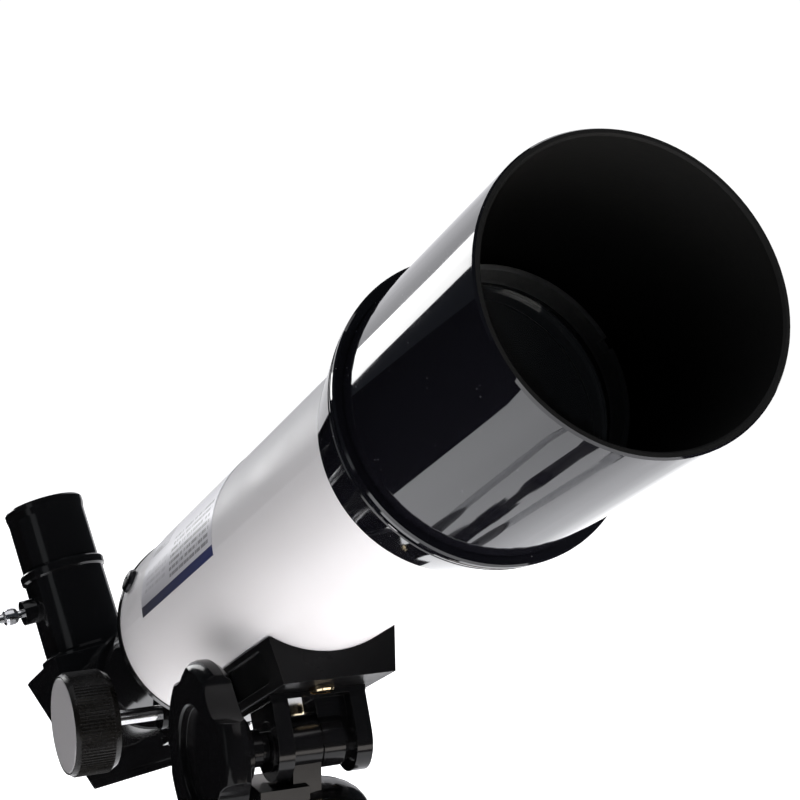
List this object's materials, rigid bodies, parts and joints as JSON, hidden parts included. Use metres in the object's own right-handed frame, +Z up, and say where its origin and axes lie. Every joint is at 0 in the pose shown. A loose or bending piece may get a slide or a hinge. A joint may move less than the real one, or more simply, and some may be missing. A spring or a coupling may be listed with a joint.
{
  "type": "telescope on tripod",
  "caption": "Small refracting telescope with star diagonal, eyepiece and rack focuser, on a pan and tilt head with a folding tabletop tripod.",
  "frame": {"origin": "on the pan axis, in the plane of the table that the three feet stand on", "axes": "+Z up along the pan axis, +Y the horizontal direction that the tube points at rest, +X to the right of a person at the eyepiece"},
  "size_m": [0.2366, 0.4045, 0.4507],
  "materials": {
    "white_paint": "gloss white enamel",
    "gloss_black": "gloss moulded black",
    "matt_black": "matt black against stray light",
    "satin_black": "satin moulded black",
    "knob_black": "moulded black, slightly worn",
    "bracket_black": "satin moulded black",
    "eyepiece_black": "moulded black",
    "objective_glass": "polished and coated",
    "eyepiece_glass": "polished",
    "chrome": "bright chrome",
    "plated_steel": "zinc plated",
    "black_screw": "black",
    "brass": "machined brass",
    "disc_grey": "fine spun silver grey",
    "label_silver": "printed silver film",
    "leg_aluminium": "satin anodised",
    "foot_rubber": "matt"
  },
  "bodies": {
    "tripod_hub": {"hub": "satin_black", "pan_bolt": "plated_steel", "leg_pins": "plated_steel"},
    "pan_head": {"head_post": "satin_black"},
    "pan_lock": {"pan_lock_knob": "satin_black"},
    "telescope": {"tilt_bracket": "satin_black", "tilt_bolt": "plated_steel", "tilt_washers": "satin_black", "bracket_screws": "brass", "saddle_block": "satin_black", "saddle_screws": "plated_steel", "main_tube": "white_paint", "tube_baffles": "matt_black", "tube_label": "label_silver", "objective_collar": "gloss_black", "dew_shield": "gloss_black", "lens_cell": "matt_black", "retaining_ring": "matt_black", "crown_lens": "objective_glass", "flint_lens": "objective_glass", "lens_spacer": "matt_black", "focuser_body": "gloss_black", "focuser_screws": "black_screw", "pinion_cover": "satin_black", "cover_screws": "plated_steel"},
    "tilt_lock": {"tilt_knob": "knob_black"},
    "focus_drive": {"focus_shaft": "chrome", "focus_pinion": "brass", "focus_knob_right": "knob_black", "focus_knob_left": "knob_black", "knob_discs": "disc_grey"},
    "drawtube_unit": {"drawtube": "satin_black", "focus_rack": "satin_black"},
    "drawtube_screw": {"drawtube_thumbscrew": "chrome"},
    "diagonal": {"diagonal_body": "gloss_black", "diagonal_cover": "satin_black", "prism": "eyepiece_glass", "eyepiece_holder": "gloss_black"},
    "holder_screw": {"holder_thumbscrew": "chrome"},
    "eyepiece": {"eyepiece_barrel": "chrome", "eyepiece_body": "eyepiece_black", "eye_lens": "eyepiece_glass", "field_lens": "eyepiece_glass", "field_stop": "matt_black"},
    "leg_1": {"leg_bracket_1": "bracket_black", "upper_tube_1": "leg_aluminium"},
    "leg_lock_1": {"lock_collar_1": "knob_black"},
    "lower_leg_1": {"lower_tube_1": "leg_aluminium", "foot_1": "foot_rubber"},
    "leg_2": {"leg_bracket_2": "bracket_black", "upper_tube_2": "leg_aluminium"},
    "leg_lock_2": {"lock_collar_2": "knob_black"},
    "lower_leg_2": {"lower_tube_2": "leg_aluminium", "foot_2": "foot_rubber"},
    "leg_3": {"leg_bracket_3": "bracket_black", "upper_tube_3": "leg_aluminium"},
    "leg_lock_3": {"lock_collar_3": "knob_black"},
    "lower_leg_3": {"lower_tube_3": "leg_aluminium", "foot_3": "foot_rubber"}
  },
  "joints": [
    {"name": "pan", "type": "hinge", "parent": "tripod_hub", "child": "pan_head", "pos_m": [0, 0, 0.28], "axis": [0, 0, 1], "continuous": true},
    {"name": "pan_lock_turn", "type": "hinge", "parent": "pan_head", "child": "pan_lock", "pos_m": [0, -0.02, 0.273], "axis": [0, -1, 0], "range_deg": [-180, 0]},
    {"name": "altitude", "type": "hinge", "parent": "pan_head", "child": "telescope", "pos_m": [0, 0, 0.3], "axis": [1, 0, 0], "range_deg": [-46, 34]},
    {"name": "tilt_lock_turn", "type": "hinge", "parent": "telescope", "child": "tilt_lock", "pos_m": [0.02, 0, 0.3], "axis": [1, 0, 0], "range_deg": [0, 180]},
    {"name": "focus_travel", "type": "slide", "parent": "telescope", "child": "drawtube_unit", "axis": [0, -0.8988, -0.4384], "range_m": [-0.025, 0.024]},
    {"name": "focus_turn", "type": "hinge", "parent": "telescope", "child": "focus_drive", "pos_m": [-0.00034, -0.09027, 0.28435], "axis": [0.9998, 0.0077, -0.0157], "range_deg": [-360, 360]},
    {"name": "drawtube_screw_turn", "type": "hinge", "parent": "drawtube_unit", "child": "drawtube_screw", "pos_m": [-0.01618, -0.157, 0.28657], "axis": [-0.809, -0.2577, 0.5283], "range_deg": [0, 180]},
    {"name": "diagonal_turn", "type": "hinge", "parent": "drawtube_unit", "child": "diagonal", "pos_m": [0, -0.15455, 0.27469], "axis": [0, 0.8988, 0.4384], "range_deg": [-95, 85]},
    {"name": "holder_screw_turn", "type": "hinge", "parent": "diagonal", "child": "holder_screw", "pos_m": [0.02592, -0.21248, 0.28625], "axis": [0.9877, 0.0686, -0.1406], "range_deg": [0, 180]},
    {"name": "eyepiece_travel", "type": "slide", "parent": "diagonal", "child": "eyepiece", "axis": [0.1564, -0.433, 0.8877], "range_m": [0, 0.025]},
    {"name": "leg_fold_1", "type": "hinge", "parent": "tripod_hub", "child": "leg_1", "pos_m": [0, 0.024, 0.238], "axis": [-1, 0, 0], "range_deg": [0, 23]},
    {"name": "leg_lock_turn_1", "type": "hinge", "parent": "leg_1", "child": "leg_lock_1", "pos_m": [0, 0.09628, 0.06771], "axis": [0, 0.3907, -0.9205], "range_deg": [0, 90]},
    {"name": "leg_travel_1", "type": "slide", "parent": "leg_1", "child": "lower_leg_1", "axis": [0, 0.3907, -0.9205], "range_m": [0, 0.105]},
    {"name": "leg_fold_2", "type": "hinge", "parent": "tripod_hub", "child": "leg_2", "pos_m": [-0.02079, -0.012, 0.238], "axis": [0.5, -0.866, 0], "range_deg": [0, 23]},
    {"name": "leg_lock_turn_2", "type": "hinge", "parent": "leg_2", "child": "leg_lock_2", "pos_m": [-0.08339, -0.04814, 0.06771], "axis": [-0.3384, -0.1954, -0.9205], "range_deg": [0, 90]},
    {"name": "leg_travel_2", "type": "slide", "parent": "leg_2", "child": "lower_leg_2", "axis": [-0.3384, -0.1954, -0.9205], "range_m": [0, 0.105]},
    {"name": "leg_fold_3", "type": "hinge", "parent": "tripod_hub", "child": "leg_3", "pos_m": [0.02079, -0.012, 0.238], "axis": [0.5, 0.866, 0], "range_deg": [0, 23]},
    {"name": "leg_lock_turn_3", "type": "hinge", "parent": "leg_3", "child": "leg_lock_3", "pos_m": [0.08339, -0.04814, 0.06771], "axis": [0.3384, -0.1954, -0.9205], "range_deg": [0, 90]},
    {"name": "leg_travel_3", "type": "slide", "parent": "leg_3", "child": "lower_leg_3", "axis": [0.3384, -0.1954, -0.9205], "range_m": [0, 0.105]}
  ],
  "couplings": [
    {"joint": "focus_turn", "follows": "focus_travel", "rad_per_m": 250}
  ]
}
